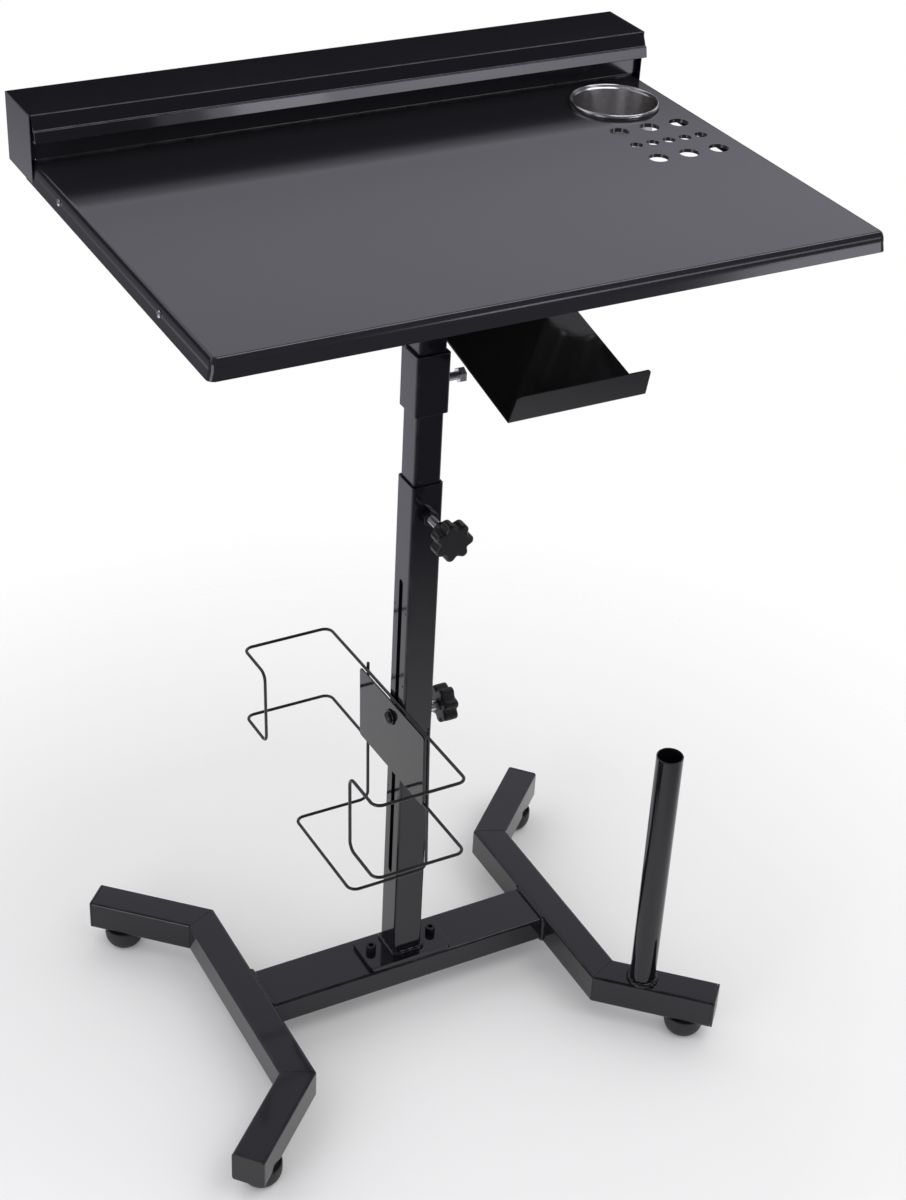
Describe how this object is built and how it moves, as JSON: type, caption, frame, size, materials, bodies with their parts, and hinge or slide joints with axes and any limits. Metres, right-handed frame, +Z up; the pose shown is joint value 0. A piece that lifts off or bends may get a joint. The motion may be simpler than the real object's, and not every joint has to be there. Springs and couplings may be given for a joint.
{
  "type": "tattoo workstation",
  "caption": "Black sheet-metal work tray with a raised back box, ink-cup holes and rinse cup, on a telescoping square column with a wire bottle rack and an H-shaped footed base.",
  "frame": {"origin": "on the floor under the middle of the whole object; the column's axis is 7.2 mm behind it", "axes": "+Z up, -Y towards the user, +X towards the cup's side"},
  "size_m": [0.603, 0.4556, 0.9609],
  "materials": {
    "gloss_black_paint": "gloss black baked paint",
    "black_wire_coating": "satin black coating on wire",
    "black_plastic": "moulded black plastic",
    "black_rubber": "matt black rubber",
    "black_oxide_steel": "black oxide",
    "bright_zinc_steel": "bright zinc plate",
    "stainless_steel": "spun and brushed stainless steel"
  },
  "bodies": {
    "stand": {"base_plate": "gloss_black_paint", "column": "gloss_black_paint", "cross_beam": "gloss_black_paint", "height_weld_nut": "gloss_black_paint", "left_back_arm": "gloss_black_paint", "left_back_foot": "black_rubber", "left_back_plug": "black_plastic", "left_base_bolt": "black_oxide_steel", "left_base_nut": "black_oxide_steel", "left_front_arm": "gloss_black_paint", "left_front_foot": "black_rubber", "left_front_plug": "black_plastic", "left_leg_tube": "gloss_black_paint", "right_back_arm": "gloss_black_paint", "right_back_foot": "black_rubber", "right_back_plug": "black_plastic", "right_base_bolt": "black_oxide_steel", "right_base_nut": "black_oxide_steel", "right_front_arm": "gloss_black_paint", "right_front_foot": "black_rubber", "right_front_plug": "black_plastic", "right_leg_tube": "gloss_black_paint", "roll_post": "gloss_black_paint"},
    "mast": {"clamp_bolt": "bright_zinc_steel", "mast_tube": "gloss_black_paint", "sleeve": "gloss_black_paint"},
    "tray": {"power_shelf": "gloss_black_paint", "riser_cover": "gloss_black_paint", "riser_left_end": "gloss_black_paint", "riser_right_end": "gloss_black_paint", "stem_plate": "gloss_black_paint", "stud_nut_1": "bright_zinc_steel", "stud_nut_2": "bright_zinc_steel", "stud_nut_3": "bright_zinc_steel", "stud_nut_4": "bright_zinc_steel", "stud_nut_5": "bright_zinc_steel", "stud_nut_6": "bright_zinc_steel", "tray_pan": "gloss_black_paint", "tray_stem": "gloss_black_paint"},
    "cup": {"rinse_cup": "stainless_steel"},
    "rack": {"bottle_shelf_wire": "black_wire_coating", "holder_wire": "black_wire_coating", "rack_bolt": "black_oxide_steel", "rack_plate": "gloss_black_paint", "rack_washer": "black_oxide_steel"},
    "rack_hub": {"rack_hub": "bright_zinc_steel"},
    "rack_knob": {"rack_knob": "black_plastic"},
    "height_screw": {"height_screw": "bright_zinc_steel"},
    "height_knob": {"height_knob": "black_plastic"}
  },
  "joints": [
    {"name": "mast_slide", "type": "slide", "parent": "stand", "child": "mast", "axis": [0, 0, 1], "range_m": [-0.07, 0.28]},
    {"name": "tray_lift", "type": "slide", "parent": "mast", "child": "tray", "axis": [0, 0, 1], "range_m": [0, 0.034]},
    {"name": "cup_lift", "type": "slide", "parent": "tray", "child": "cup", "axis": [0, 0, 1], "range_m": [0, 0.08]},
    {"name": "rack_slide", "type": "slide", "parent": "stand", "child": "rack", "axis": [0, 0, 1], "range_m": [-0.145, 0.15]},
    {"name": "height_screw_travel", "type": "slide", "parent": "stand", "child": "height_screw", "axis": [0, -1, 0], "range_m": [0, 0.0025]},
    {"name": "height_knob_turn", "type": "hinge", "parent": "height_screw", "child": "height_knob", "pos_m": [0, -0.04982, 0.5959], "axis": [0, -1, 0], "range_deg": [0, 720]},
    {"name": "rack_hub_travel", "type": "slide", "parent": "rack", "child": "rack_hub", "axis": [1, 0, 0], "range_m": [0, 0.002]},
    {"name": "rack_knob_turn", "type": "hinge", "parent": "rack_hub", "child": "rack_knob", "pos_m": [0.036, 0.00718, 0.3609], "axis": [1, 0, 0], "range_deg": [0, 720]}
  ],
  "couplings": [
    {"joint": "height_knob_turn", "follows": "height_screw_travel", "rad_per_m": 5026.5},
    {"joint": "rack_knob_turn", "follows": "rack_hub_travel", "rad_per_m": 6283.2}
  ]
}
